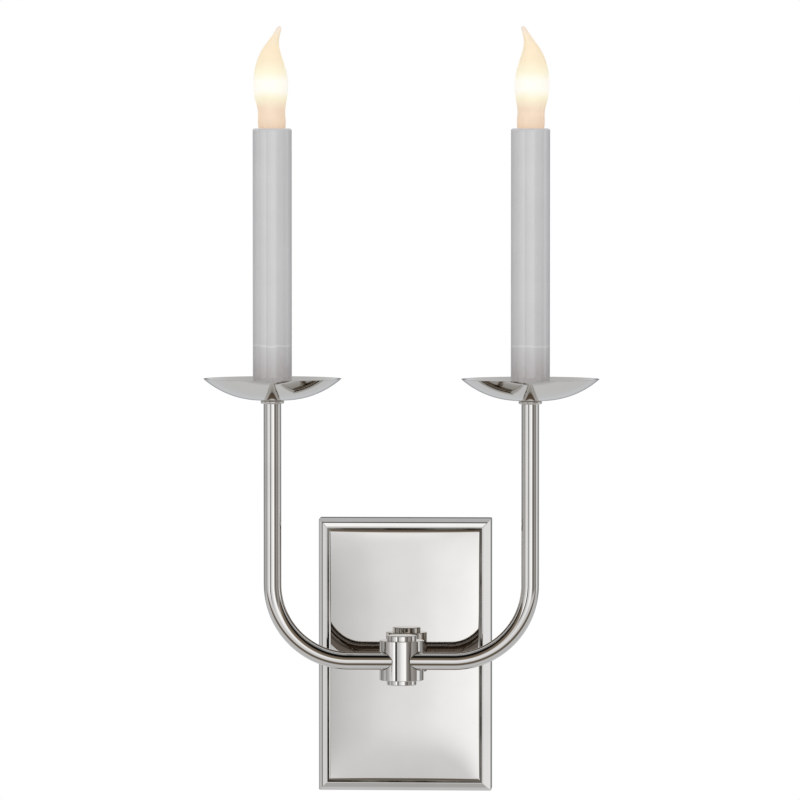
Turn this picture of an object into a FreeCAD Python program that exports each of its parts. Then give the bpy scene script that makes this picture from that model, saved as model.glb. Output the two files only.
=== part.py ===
"""Double arm wall sconce, in millimetres.

The wall is the plane y = 0 and the light stands on its -Y side. +Z is up, and +X is to the
right of someone who faces the wall. z = 0 is the height of the arms where they leave the hub.
The left side is side = -1 and the right side is side = 1, and "inward" is towards x = 0.
"""
import FreeCAD, Part
import math
import os

from FreeCAD import Vector

os.makedirs("parts", exist_ok=True)

# Fits between pieces
THREAD_FIT = 0.05           # radial clearance of a threaded piece or a tube in its hole
SEAT_GAP = 0.3              # under a loose piece, above what it rests on
CURVED_SEAT = 0.06          # between a flat or coped end and the curved face it seats on

# Backplate: a pressed pan with a bevelled moulding, a groove and a crowned panel
PLATE_WIDTH = 114.0
PLATE_HEIGHT = 180.0
PLATE_SIDE = 16.0           # straight side wall, out from the room wall
PLATE_SHEET = 1.5
PLATE_CORNER = 1.4          # corner radius seen from the front
PLATE_EDGE_ROUND = 0.8      # where the side wall turns into the moulding
MOULDING_WIDTH = 5.4
MOULDING_RISE = 6.4
LAND_WIDTH = 0.6            # narrow flat between the moulding and the groove
GROOVE_WIDTH = 1.2
GROOVE_DEPTH = 1.4
PANEL_STEP = 0.4            # the panel's rim lies this much lower than the land
PANEL_CROWN = 2.5
CROWN_POWER_ACROSS = 3      # how late the crown falls away, from the middle to each side
CROWN_POWER_UP = 5          # and from the middle to the top and the bottom
CROWN_SPANS = 12

# Wall bracket: a strap with turned ears, which the backplate hides
STRAP_WIDTH = 22.0
STRAP_SHEET = 2.0
EAR_DEPTH = 13.0
BEND_INSIDE = 1.2           # inside radius of each bend in sheet
EAR_CLEARANCE = 0.3         # between an ear and the backplate's wall
BOX_SCREW_SPACING = 88.9
BOX_SLOT_LENGTH = 14.0
BOX_SLOT_WIDTH = 4.8
SET_SCREW_RADIUS = 2.0
SET_SCREW_LENGTH = 6.0
SET_SCREW_FROM_WALL = 8.0
SET_SCREW_SUNK = 0.2        # below the backplate's outside
SET_SCREW_SOCKET = 2.0      # across the flats of its hexagonal recess, and its depth
SCREW_HOLE_CLEARANCE = 0.3
GROUND_SCREW_RADIUS = 2.4
GROUND_HEAD_RADIUS = 4.6
GROUND_HEAD_HEIGHT = 3.0
GROUND_SCREW_DROP = 22.0    # below the strap's middle
GROUND_SLOT_WIDTH = 1.0
GROUND_SCREW_SUNK = 0.2     # its end stays this far inside the strap's back

# Hub and the stem behind it
HUB_FROM_WALL = 60.0
HUB_RADIUS = 14.5
HUB_HEIGHT = 26.0
HUB_WALL = 4.0
HUB_EDGE_ROUND = 0.4
HUB_END_WALL = 3.0
CAP_RADIUS = 9.7
CAP_HEIGHT = 3.2
CAP_EDGE_ROUND = 0.5
CAP_STUB_RADIUS = 6.0
STEM_WALL = 2.0
STEM_FOOT_RADIUS = 11.0
STEM_FOOT_HEIGHT = 2.0
WASHER_RADIUS = 11.0
WASHER_HEIGHT = 1.2

# Arms: one round tube each
TUBE_RADIUS = 5.75
TUBE_WALL = 0.8
ARM_BEFORE_HUB_AXIS = 7.4   # the tubes enter the hub this much in front of its axis
ARM_END_FROM_MIDDLE = 3.5
CANDLE_FROM_MIDDLE = 84.0
BEND_RADIUS = 50.0
ARM_TOP = 167.6

# Collar, dish and the nipple that clamps them
COLLAR_LIP = 1.9            # how far the collar stands out from the tube
COLLAR_HEIGHT = 2.3
DISH_RADIUS = 45.0
DISH_DEPTH = 14.1
DISH_SHEET = 0.9
NIPPLE_WALL = 1.35
NIPPLE_IN_ARM = 17.6
NIPPLE_PAST_NUT = 1.5
NUT_WALL = 2.15             # from the thread to a flat
NUT_HEIGHT = 3.0

# Candle: socket, its bracket and the loose cover
COVER_LENGTH = 175.4
COVER_WALL = 2.0
COVER_TOP_ROUND = 1.5
COVER_CLEARANCE = 0.7       # round the socket
HICKEY_WIDTH = 8.0
HICKEY_SHEET = 1.2
HICKEY_FOOT_RADIUS = 7.8
HICKEY_CLEARANCE = 0.55     # from the bracket's corners to the cover's bore
HICKEY_TAB = 13.3           # depth of its foot and of its top tab
SOCKET_BELOW_COVER_TOP = 13.0
SOCKET_LENGTH = 34.0
SOCKET_FLOOR = 8.0
SOCKET_WALL = 3.3
SOCKET_EDGE_ROUND = 0.8
SHELL_WALL = 0.5
SHELL_ABOVE_FLOOR = 2.0
SHELL_BELOW_RIM = 3.0
CONTACT_HEIGHT = 6.2
CONTACT_DEPTH = 5.0
CONTACT_WIDTH = 4.0
CONTACT_SHEET = 0.5
SOCKET_SCREW_RADIUS = 1.75
SOCKET_SCREW_LENGTH = 6.0
SOCKET_SCREW_HEAD_RADIUS = 3.0
SOCKET_SCREW_HEAD_HEIGHT = 2.2
SOCKET_SCREW_SLOT_WIDTH = 0.8
SOCKET_SCREW_SLOT_DEPTH = 1.0

# Flame bulb
BASE_RADIUS = 5.85
BASE_LENGTH = 21.0
BASE_SHEET = 0.35
BASE_CLEARANCE = 0.25       # radial, in the screw shell
TIP_RADIUS = 2.4
TIP_HEIGHT = 2.0
INSULATOR_HEIGHT = 2.5
GLASS_WALL = 0.8
GLASS_NECK_LENGTH = 4.5     # glass inside the base
GLASS_IN_BASE_GAP = 0.25
# (height above the base, radius, lean away from the middle of the light)
GLASS_SECTIONS = [
    (0.6, 5.5, 0.0), (2.5, 7.2, 0.0), (5.5, 8.8, 0.1), (11.9, 9.3, 0.2), (16.1, 8.7, 0.3),
    (20.3, 9.1, 0.5), (28.0, 10.9, 0.9), (34.6, 11.7, 0.9), (40.5, 11.2, 1.0), (47.0, 9.9, 1.3),
    (54.2, 7.5, 1.4), (60.0, 5.0, 0.6), (64.6, 2.9, -1.2), (69.0, 1.8, -3.4), (73.4, 0.8, -5.4),
]
GLASS_SOLID_TIP_RADIUS = 2.5  # the tip is solid where it is thinner than this
STEM_COLUMN_RADIUS = 2.3
STEM_COLUMN_TOP = 22.0      # above the base
STEM_FLARE_HEIGHT = 1.5
LEAD_RADIUS = 0.35
LEAD_FOOT = 1.3             # from the axis, at the column's top
FILAMENT_RADIUS = 0.45
FILAMENT_REACH = 4.0        # from the axis to each end
FILAMENT_FOOT = 32.0        # above the base
FILAMENT_RISE = 4.0

CUT = 1.0                   # how far a cutting tool runs past what it cuts

# Places that several pieces share
arm_y = -(HUB_FROM_WALL + ARM_BEFORE_HUB_AXIS)
land_y = -(PLATE_SIDE + MOULDING_RISE)
groove_floor_y = land_y + GROOVE_DEPTH
panel_rim_y = land_y + PANEL_STEP
panel_front_y = panel_rim_y - PANEL_CROWN
washer_back_y = panel_front_y + PLATE_SHEET + CURVED_SEAT + WASHER_HEIGHT
border = MOULDING_WIDTH + LAND_WIDTH + GROOVE_WIDTH
panel_width = PLATE_WIDTH - 2 * border
panel_height = PLATE_HEIGHT - 2 * border
ear_outside_z = PLATE_HEIGHT / 2 - PLATE_SHEET - EAR_CLEARANCE

nipple_radius = TUBE_RADIUS - TUBE_WALL - 2 * THREAD_FIT
thread_hole = nipple_radius + THREAD_FIT
nut_flat = nipple_radius + NUT_WALL
collar_radius = TUBE_RADIUS + COLLAR_LIP
dish_bottom = ARM_TOP + COLLAR_HEIGHT
dish_floor = dish_bottom + DISH_SHEET
foot_bottom = dish_floor + NUT_HEIGHT
foot_top = foot_bottom + HICKEY_SHEET
nipple_top = foot_top + NUT_HEIGHT + NIPPLE_PAST_NUT

shell_bore = BASE_RADIUS + BASE_CLEARANCE
shell_radius = shell_bore + SHELL_WALL
socket_bore = shell_radius + THREAD_FIT
socket_radius = socket_bore + SOCKET_WALL
cover_bore = socket_radius + COVER_CLEARANCE
cover_radius = cover_bore + COVER_WALL
hickey_back = math.sqrt((cover_bore - HICKEY_CLEARANCE) ** 2 - (HICKEY_WIDTH / 2) ** 2)

dish_curve = ((DISH_RADIUS - collar_radius) ** 2 + DISH_DEPTH ** 2) / (2 * DISH_DEPTH)
dish_curve_z = dish_bottom + dish_curve
dish_under_cover = dish_curve_z - math.sqrt(
    (dish_curve - DISH_SHEET) ** 2 - max(cover_radius - collar_radius, 0.0) ** 2)
cover_bottom = dish_under_cover + SEAT_GAP
cover_top = cover_bottom + COVER_LENGTH
socket_top = cover_top - SOCKET_BELOW_COVER_TOP
socket_bottom = socket_top - SOCKET_LENGTH
socket_floor_top = socket_bottom + SOCKET_FLOOR
tip_bottom = socket_floor_top + CONTACT_HEIGHT + SEAT_GAP
insulator_bottom = tip_bottom + TIP_HEIGHT
base_bottom = insulator_bottom + INSULATOR_HEIGHT
base_top = base_bottom + BASE_LENGTH
neck_radius = BASE_RADIUS - BASE_SHEET - GLASS_IN_BASE_GAP


# Shapes that several pieces use

def cylinder(radius, bottom, top, y=0.0):
    """A round bar along z."""
    return Part.makeCylinder(radius, top - bottom, Vector(0, y, bottom))


def bar_along_y(radius, start, end, z=0.0):
    """A round bar from y = start to y = end, with start nearer to the wall."""
    return Part.makeCylinder(radius, start - end, Vector(0, start, z), Vector(0, -1, 0))


def ring(outer, inner, bottom, top):
    """A plain ring round the z axis."""
    return cylinder(outer, bottom, top).cut(cylinder(inner, bottom - CUT, top + CUT))


def block(x_size, z_size, back, front):
    """A box centred on the y axis, from y = back to y = front."""
    return Part.makeBox(x_size, back - front, z_size, Vector(-x_size / 2, front, -z_size / 2))


def level_edges(shape, height):
    """The edges that lie wholly at one height."""
    return [e for e in shape.Edges
            if abs(e.BoundBox.ZMin - height) < 1e-4 and abs(e.BoundBox.ZMax - height) < 1e-4]


def edges_at_y(shape, y):
    """The edges that lie wholly in one plane parallel to the wall."""
    return [e for e in shape.Edges
            if abs(e.BoundBox.YMin - y) < 1e-4 and abs(e.BoundBox.YMax - y) < 1e-4]


def hex_prism(across_flats, bottom, top):
    """A hexagonal bar along z with two flats facing +Y and -Y."""
    corner = across_flats / math.sqrt(3)
    points = [Vector(corner * math.cos(math.radians(60 * k)),
                     corner * math.sin(math.radians(60 * k)), bottom) for k in range(6)]
    face = Part.Face(Part.makePolygon(points + points[:1]))
    return face.extrude(Vector(0, 0, top - bottom))


def hex_nut(bottom):
    """A nut for the hollow nipples, with its top corners turned off."""
    top = bottom + NUT_HEIGHT
    corner = 2 * nut_flat / math.sqrt(3)
    chamfer = corner - nut_flat
    turned_blank = Part.makeCone(corner + NUT_HEIGHT - chamfer, nut_flat, NUT_HEIGHT,
                                 Vector(0, 0, bottom))
    nut = hex_prism(2 * nut_flat, bottom, top).common(turned_blank)
    return nut.cut(cylinder(thread_hole, bottom - CUT, top + CUT))


def channel(length, width, depth, sheet):
    """Bent strap: its web lies against y = 0 along z, and both ends turn towards -Y."""
    outside = block(width, length, 0, -depth)
    outside = outside.makeFillet(BEND_INSIDE + sheet, edges_at_y_across(outside, 0))
    inside = block(width + 2 * CUT, length - 2 * sheet, -sheet, -depth - CUT)
    inside = inside.makeFillet(BEND_INSIDE, edges_at_y_across(inside, -sheet))
    return outside.cut(inside)


def edges_at_y_across(shape, y):
    """The edges along x in one plane parallel to the wall."""
    return [e for e in edges_at_y(shape, y) if e.BoundBox.ZLength < 1e-4]


def rounded_rectangle(width, height, radius, y):
    """A closed wire in a plane parallel to the wall."""
    face = block(width, height, y, y - CUT)
    uprights = [e for e in face.Edges if e.BoundBox.YLength > CUT / 2]
    rounded = face.makeFillet(radius, uprights)
    back = [f for f in rounded.Faces if abs(f.BoundBox.YMin - y) < 1e-4]
    return back[0].OuterWire


# Backplate

def crowned_block(width, height, back, rim):
    """A block with a flat back, whose front rises from its rim to the crown."""
    rows = []
    for i in range(CROWN_SPANS + 1):
        across = 2 * i / CROWN_SPANS - 1
        row = []
        for j in range(CROWN_SPANS + 1):
            up = 2 * j / CROWN_SPANS - 1
            share = (1 - abs(across) ** CROWN_POWER_ACROSS) * (1 - abs(up) ** CROWN_POWER_UP)
            row.append(Vector(across * width / 2, rim - PANEL_CROWN * share, up * height / 2))
        rows.append(row)
    surface = Part.BSplineSurface()
    surface.interpolate(rows)
    sheet = surface.toShape().extrude(Vector(0, back - rim + PANEL_CROWN + CUT, 0))
    return sheet.common(block(width + 2 * CUT, height + 2 * CUT, back, rim - PANEL_CROWN - CUT))


def pan(inset, back, shoulder, front):
    """Straight sides up to the shoulder, then the bevel of the moulding up to the front."""
    width = PLATE_WIDTH - 2 * inset
    height = PLATE_HEIGHT - 2 * inset
    corner = max(PLATE_CORNER - inset, 0.3)
    bevel = MOULDING_WIDTH * (shoulder - front) / MOULDING_RISE
    sides = Part.Face(rounded_rectangle(width, height, corner, back))
    sides = sides.extrude(Vector(0, shoulder - back, 0))
    lower = rounded_rectangle(width, height, corner, shoulder)
    upper = rounded_rectangle(width - 2 * bevel, height - 2 * bevel, corner, front)
    return sides.fuse(Part.makeLoft([lower, upper], True, True)).removeSplitter()


def backplate():
    blank = pan(0.0, 0.0, -PLATE_SIDE, land_y)
    blank = blank.makeFillet(PLATE_EDGE_ROUND, edges_at_y(blank, -PLATE_SIDE))
    blank = blank.makeFillet(LAND_WIDTH * 0.8, edges_at_y(blank, land_y))
    recess = block(panel_width + 2 * GROOVE_WIDTH, panel_height + 2 * GROOVE_WIDTH,
                   groove_floor_y, land_y - CUT)
    plate = blank.cut(recess)
    plate = plate.fuse(crowned_block(panel_width, panel_height, groove_floor_y + CUT / 2, panel_rim_y))

    # The hollow follows the outside one sheet further in, as in a pressing.
    bevel_length = math.hypot(MOULDING_WIDTH, MOULDING_RISE)
    shoulder_shift = PLATE_SHEET * (bevel_length - MOULDING_RISE) / MOULDING_WIDTH
    hollow_front = groove_floor_y + PLATE_SHEET
    hollow = pan(PLATE_SHEET, CUT, -PLATE_SIDE + shoulder_shift, hollow_front)
    plate = plate.cut(hollow)
    plate = plate.cut(crowned_block(panel_width - 2 * PLATE_SHEET, panel_height - 2 * PLATE_SHEET,
                                    hollow_front + CUT, panel_rim_y + PLATE_SHEET))

    plate = plate.cut(bar_along_y(nipple_radius + SCREW_HOLE_CLEARANCE, 0, panel_front_y - CUT))
    screw_holes = cylinder(SET_SCREW_RADIUS + SCREW_HOLE_CLEARANCE, -PLATE_HEIGHT, PLATE_HEIGHT,
                           y=-SET_SCREW_FROM_WALL)
    return plate.cut(screw_holes)


# Wall bracket and its screws

def box_slot(z):
    """A slot along z through the strap, for a screw into the wall box."""
    half_run = (BOX_SLOT_LENGTH - BOX_SLOT_WIDTH) / 2
    radius = BOX_SLOT_WIDTH / 2
    slot = block(BOX_SLOT_WIDTH, 2 * half_run, CUT, -STRAP_SHEET - CUT)
    for end in (-half_run, half_run):
        slot = slot.fuse(bar_along_y(radius, CUT, -STRAP_SHEET - CUT, z=end))
    slot = slot.removeSplitter()
    slot.translate(Vector(0, 0, z))
    return slot


def mounting_bracket():
    bracket = channel(2 * ear_outside_z, STRAP_WIDTH, EAR_DEPTH, STRAP_SHEET)
    for end in (-1, 1):
        bracket = bracket.cut(box_slot(end * BOX_SCREW_SPACING / 2))
    bracket = bracket.cut(bar_along_y(GROUND_SCREW_RADIUS + THREAD_FIT, CUT, -STRAP_SHEET - CUT,
                                      z=-GROUND_SCREW_DROP))
    return bracket.cut(cylinder(SET_SCREW_RADIUS + THREAD_FIT, -PLATE_HEIGHT, PLATE_HEIGHT,
                                y=-SET_SCREW_FROM_WALL))


def set_screw(end):
    """A headless screw through the backplate's wall into an ear: end is 1 at the top."""
    outer = PLATE_HEIGHT / 2 - SET_SCREW_SUNK
    screw = cylinder(SET_SCREW_RADIUS, outer - SET_SCREW_LENGTH, outer)
    screw = screw.makeChamfer(SET_SCREW_RADIUS / 6, screw.Edges[:1] + screw.Edges[2:])
    screw = screw.cut(hex_prism(SET_SCREW_SOCKET, outer - SET_SCREW_SOCKET, outer + CUT))
    if end < 0:
        screw = screw.mirror(Vector(0, 0, 0), Vector(0, 0, 1))
    screw.translate(Vector(0, -SET_SCREW_FROM_WALL, 0))
    return screw


def ground_screw():
    head_back = -STRAP_SHEET
    head_front = head_back - GROUND_HEAD_HEIGHT
    screw = bar_along_y(GROUND_HEAD_RADIUS, head_back, head_front)
    screw = screw.makeFillet(GROUND_HEAD_HEIGHT / 4, edges_at_y(screw, head_front))
    screw = screw.fuse(bar_along_y(GROUND_SCREW_RADIUS, -GROUND_SCREW_SUNK, head_back - CUT))
    screw = screw.cut(block(GROUND_SLOT_WIDTH, 3 * GROUND_HEAD_RADIUS,
                            head_front + GROUND_HEAD_HEIGHT / 2, head_front - CUT))
    screw.translate(Vector(0, 0, -GROUND_SCREW_DROP))
    return screw


# Hub and stem

def hub_body():
    half = HUB_HEIGHT / 2
    barrel = cylinder(HUB_RADIUS, -half, half)
    barrel = barrel.makeFillet(HUB_EDGE_ROUND, level_edges(barrel, half) + level_edges(barrel, -half))
    barrel = barrel.cut(cylinder(HUB_RADIUS - HUB_WALL, -half + HUB_END_WALL, half - HUB_END_WALL))
    barrel = barrel.cut(cylinder(CAP_STUB_RADIUS + THREAD_FIT, -half - CUT, half + CUT))
    barrel = barrel.cut(bar_along_y(thread_hole, HUB_RADIUS + CUT, 0))
    bore = Part.makeCylinder(TUBE_RADIUS + THREAD_FIT, HUB_RADIUS,
                             Vector(ARM_END_FROM_MIDDLE - SEAT_GAP, -ARM_BEFORE_HUB_AXIS, 0),
                             Vector(1, 0, 0))
    barrel = barrel.cut(bore).cut(bore.mirror(Vector(0, 0, 0), Vector(1, 0, 0)))
    barrel.translate(Vector(0, -HUB_FROM_WALL, 0))
    return barrel


def hub_cap(end):
    """The disc that closes one end of the hub: end is 1 at the top and -1 at the bottom."""
    seat = HUB_HEIGHT / 2
    top = seat + CAP_HEIGHT
    disc = cylinder(CAP_RADIUS, seat, top)
    disc = disc.makeFillet(CAP_EDGE_ROUND, level_edges(disc, top))
    cap = disc.fuse(cylinder(CAP_STUB_RADIUS, seat - HUB_END_WALL, seat + CAP_HEIGHT / 2))
    if end < 0:
        cap = cap.mirror(Vector(0, 0, 0), Vector(0, 0, 1))
    cap.translate(Vector(0, -HUB_FROM_WALL, 0))
    return cap


def stem_spacer():
    """A turned tube between panel and hub: a foot on the panel, and a coped end on the hub."""
    back = panel_front_y - CURVED_SEAT
    foot_front = back - STEM_FOOT_HEIGHT
    bore = nipple_radius + SCREW_HOLE_CLEARANCE
    foot = bar_along_y(STEM_FOOT_RADIUS, back, foot_front)
    foot = foot.makeFillet(STEM_FOOT_HEIGHT / 2, edges_at_y(foot, foot_front))
    spacer = foot.fuse(bar_along_y(bore + STEM_WALL, back, -HUB_FROM_WALL))
    spacer = spacer.cut(bar_along_y(bore, 0, -HUB_FROM_WALL - CUT))
    return spacer.cut(cylinder(HUB_RADIUS + CURVED_SEAT, -HUB_HEIGHT, HUB_HEIGHT, y=-HUB_FROM_WALL))


def stem_nipple():
    inner_end = -HUB_FROM_WALL + HUB_RADIUS - HUB_WALL
    outer_end = washer_back_y + 2 * NUT_HEIGHT
    nipple = bar_along_y(nipple_radius, outer_end, inner_end)
    return nipple.cut(bar_along_y(nipple_radius - NIPPLE_WALL, outer_end + CUT, inner_end - CUT))


def stem_washer():
    washer = bar_along_y(WASHER_RADIUS, washer_back_y, washer_back_y - WASHER_HEIGHT)
    return washer.cut(bar_along_y(nipple_radius + SCREW_HOLE_CLEARANCE, 0, panel_front_y))


def stem_locknut():
    nut = hex_nut(0.0)
    nut.rotate(Vector(0, 0, 0), Vector(1, 0, 0), -90)
    nut.translate(Vector(0, washer_back_y, 0))
    return nut


# One side of the light, built round the z axis where that is the candle's axis

def arm(side):
    """A tube out of the hub, through one quarter bend and up to the candle."""
    start = Vector(side * ARM_END_FROM_MIDDLE, arm_y, 0)
    bend_start = Vector(side * (CANDLE_FROM_MIDDLE - BEND_RADIUS), arm_y, 0)
    bend_end = Vector(side * CANDLE_FROM_MIDDLE, arm_y, BEND_RADIUS)
    diagonal = BEND_RADIUS * math.sin(math.radians(45))
    bend_middle = Vector(bend_start.x + side * diagonal, arm_y, BEND_RADIUS - diagonal)
    top = Vector(bend_end.x, arm_y, ARM_TOP)
    path = Part.Wire([Part.LineSegment(start, bend_start).toShape(),
                      Part.Arc(bend_start, bend_middle, bend_end).toShape(),
                      Part.LineSegment(bend_end, top).toShape()])
    solids = []
    for radius in (TUBE_RADIUS, TUBE_RADIUS - TUBE_WALL):
        section = Part.Face(Part.Wire(Part.makeCircle(radius, start, Vector(side, 0, 0))))
        solids.append(path.makePipe(section))
    return solids[0].cut(solids[1])


def collar():
    """A bead between the tube's end and the dish."""
    bead = COLLAR_HEIGHT / 2
    core = ring(collar_radius - bead, thread_hole, ARM_TOP, dish_bottom)
    round_edge = Part.makeTorus(collar_radius - bead, bead, Vector(0, 0, ARM_TOP + bead))
    return core.fuse(round_edge.cut(cylinder(thread_hole, ARM_TOP - CUT, dish_bottom + CUT)))


def dish_arc(radius):
    """The arc of one face of the dish, from its seat up to its rim, in the xz plane."""
    rim_z = dish_bottom + DISH_DEPTH
    centre = Vector(collar_radius, 0, dish_curve_z)
    reach = math.sqrt(radius ** 2 - (dish_curve_z - rim_z) ** 2)
    half_angle = math.asin(reach / radius) / 2
    middle = centre + Vector(radius * math.sin(half_angle), 0, -radius * math.cos(half_angle))
    return Part.Arc(centre + Vector(0, 0, -radius), middle, Vector(collar_radius + reach, 0, rim_z))


def dish():
    """A shallow spun dish with a flat seat, a round wall and a thin rim."""
    under = dish_arc(dish_curve)
    over = dish_arc(dish_curve - DISH_SHEET)
    hole = nipple_radius + SCREW_HOLE_CLEARANCE
    floor = Part.makePolygon([over.StartPoint, Vector(hole, 0, dish_floor),
                              Vector(hole, 0, dish_bottom), under.StartPoint])
    rim = Part.LineSegment(under.EndPoint, over.EndPoint).toShape()
    profile = Part.Wire(floor.Edges + [under.toShape(), rim, over.toShape()])
    return Part.Face(profile).revolve(Vector(0, 0, 0), Vector(0, 0, 1), 360)


def socket_nipple():
    return ring(nipple_radius, nipple_radius - NIPPLE_WALL, ARM_TOP - NIPPLE_IN_ARM, nipple_top)


def nipple_nuts():
    """One nut on the dish's floor and one on the bracket's foot."""
    return Part.makeCompound([hex_nut(dish_floor), hex_nut(foot_top)])


def socket_bracket():
    """The strap that stands on the nipple and carries the socket near the cover's top."""
    height = socket_bottom - foot_bottom
    strap = channel(height, HICKEY_WIDTH, HICKEY_TAB, HICKEY_SHEET)
    strap.translate(Vector(0, hickey_back, foot_bottom + height / 2))
    strap = strap.fuse(cylinder(HICKEY_FOOT_RADIUS, foot_bottom, foot_top)).removeSplitter()
    strap = strap.cut(cylinder(thread_hole, foot_bottom - CUT, foot_top + CUT))
    return strap.cut(cylinder(SOCKET_SCREW_RADIUS + THREAD_FIT, socket_bottom - 2 * HICKEY_SHEET,
                              socket_bottom + CUT))


def socket_screw():
    head_top = socket_bottom - HICKEY_SHEET
    head_bottom = head_top - SOCKET_SCREW_HEAD_HEIGHT
    head = cylinder(SOCKET_SCREW_HEAD_RADIUS, head_bottom, head_top)
    head = head.makeFillet(SOCKET_SCREW_HEAD_HEIGHT / 3, level_edges(head, head_bottom))
    screw = head.fuse(cylinder(SOCKET_SCREW_RADIUS, head_bottom + CUT, socket_bottom + SOCKET_SCREW_LENGTH))
    slot = block(SOCKET_SCREW_SLOT_WIDTH, 2 * SOCKET_SCREW_SLOT_DEPTH,
                 SOCKET_SCREW_HEAD_RADIUS + CUT, -SOCKET_SCREW_HEAD_RADIUS - CUT)
    return screw.cut(slot.translated(Vector(0, 0, head_bottom)))


def socket_body():
    body = cylinder(socket_radius, socket_bottom, socket_top)
    body = body.makeFillet(SOCKET_EDGE_ROUND, level_edges(body, socket_top))
    body = body.cut(cylinder(socket_bore, socket_floor_top, socket_top + CUT))
    return body.cut(cylinder(SOCKET_SCREW_RADIUS + THREAD_FIT, socket_bottom - CUT,
                             socket_bottom + SOCKET_SCREW_LENGTH + SEAT_GAP))


def screw_shell():
    return ring(shell_radius, shell_bore, socket_floor_top + SHELL_ABOVE_FLOOR,
                socket_top - SHELL_BELOW_RIM)


def centre_contact():
    """A bent leaf on the socket's floor, just under the bulb's tip."""
    leaf = channel(CONTACT_HEIGHT, CONTACT_WIDTH, CONTACT_DEPTH, CONTACT_SHEET)
    leaf.translate(Vector(0, CONTACT_DEPTH / 2, socket_floor_top + CONTACT_HEIGHT / 2))
    return leaf


def candle_cover():
    """A loose sleeve with a rounded top edge."""
    sleeve = cylinder(cover_radius, cover_bottom, cover_top)
    sleeve = sleeve.makeFillet(COVER_TOP_ROUND, level_edges(sleeve, cover_top))
    return sleeve.cut(cylinder(cover_bore, cover_bottom - CUT, cover_top + CUT))


# The bulb on one side

def bulb_base():
    """The bulb's metal shell, open at the top where the glass goes in."""
    bottom_radius = BASE_RADIUS - BASE_SHEET - SEAT_GAP
    shell = ring(BASE_RADIUS, BASE_RADIUS - BASE_SHEET, base_bottom, base_top)
    floor = ring(BASE_RADIUS, bottom_radius - 2 * BASE_SHEET, base_bottom, base_bottom + BASE_SHEET)
    return shell.fuse(floor).removeSplitter()


def bulb_insulator():
    top_radius = BASE_RADIUS - 2 * BASE_SHEET
    return Part.makeCone(TIP_RADIUS, top_radius, INSULATOR_HEIGHT, Vector(0, 0, insulator_bottom))


def bulb_tip_contact():
    tip = cylinder(TIP_RADIUS, tip_bottom, insulator_bottom)
    return tip.makeFillet(TIP_HEIGHT / 2, level_edges(tip, tip_bottom))


def bulb_form(side, sections, wall):
    """The bulb's bent flame form, one wall further in."""
    rings = []
    for height, radius, lean in sections:
        centre = Vector(side * lean, 0, base_top + height)
        rings.append(Part.Wire(Part.makeCircle(radius - wall, centre, Vector(0, 0, 1))))
    return Part.makeLoft(rings, True, False)


def bulb_glass(side):
    """The blown envelope, with its neck down in the base."""
    first_height = GLASS_SECTIONS[0][0]
    neck_bottom = base_top - GLASS_NECK_LENGTH
    neck_top = base_top + first_height
    glass = bulb_form(side, GLASS_SECTIONS, 0.0).fuse(cylinder(neck_radius, neck_bottom, neck_top))
    hollow_sections = [s for s in GLASS_SECTIONS if s[1] > GLASS_SOLID_TIP_RADIUS]
    glass = glass.cut(bulb_form(side, hollow_sections, GLASS_WALL))
    return glass.cut(cylinder(neck_radius - GLASS_WALL, neck_bottom - CUT, neck_top + CUT / 2))


def bulb_stem():
    """The glass column that holds the leads, flared where it closes the neck."""
    bottom = base_top - GLASS_NECK_LENGTH
    flare_radius = neck_radius - GLASS_WALL - THREAD_FIT
    column = cylinder(STEM_COLUMN_RADIUS, bottom, base_top + STEM_COLUMN_TOP)
    column = column.makeFillet(STEM_COLUMN_RADIUS / 2, level_edges(column, base_top + STEM_COLUMN_TOP))
    return column.fuse(Part.makeCone(flare_radius, STEM_COLUMN_RADIUS, STEM_FLARE_HEIGHT,
                                     Vector(0, 0, bottom)))


def bulb_leads():
    """Two wires from the column to the ends of the filament."""
    wires = []
    for end in (-1, 1):
        foot = Vector(end * LEAD_FOOT, 0, base_top + STEM_COLUMN_TOP + CURVED_SEAT)
        tip = Vector(end * FILAMENT_REACH, 0, base_top + FILAMENT_FOOT - FILAMENT_RADIUS)
        along = tip - foot
        wires.append(Part.makeCylinder(LEAD_RADIUS, along.Length, foot, along))
    return Part.makeCompound(wires)


def bulb_filament():
    """The filament as one smooth arch."""
    foot_z = base_top + FILAMENT_FOOT
    ends = [Vector(side * FILAMENT_REACH, 0, foot_z) for side in (-1, 1)]
    arch = Part.Arc(ends[0], Vector(0, 0, foot_z + FILAMENT_RISE), ends[1])
    tangent = Vector(*arch.tangent(arch.FirstParameter)[0])
    section = Part.Face(Part.Wire(Part.makeCircle(FILAMENT_RADIUS, ends[0], tangent)))
    return Part.Wire([arch.toShape()]).makePipe(section)


# Every piece, written under the name of its node

def export(node, shape):
    shape.exportStep("parts/" + node + ".step")


export("backplate", backplate())
export("mounting_bracket", mounting_bracket())
export("backplate_set_screws", Part.makeCompound([set_screw(1), set_screw(-1)]))
export("ground_screw", ground_screw())
export("stem_spacer", stem_spacer())
export("stem_nipple", stem_nipple())
export("stem_washer", stem_washer())
export("stem_locknut", stem_locknut())
export("hub_body", hub_body())
export("hub_top_cap", hub_cap(1))
export("hub_bottom_cap", hub_cap(-1))

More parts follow.
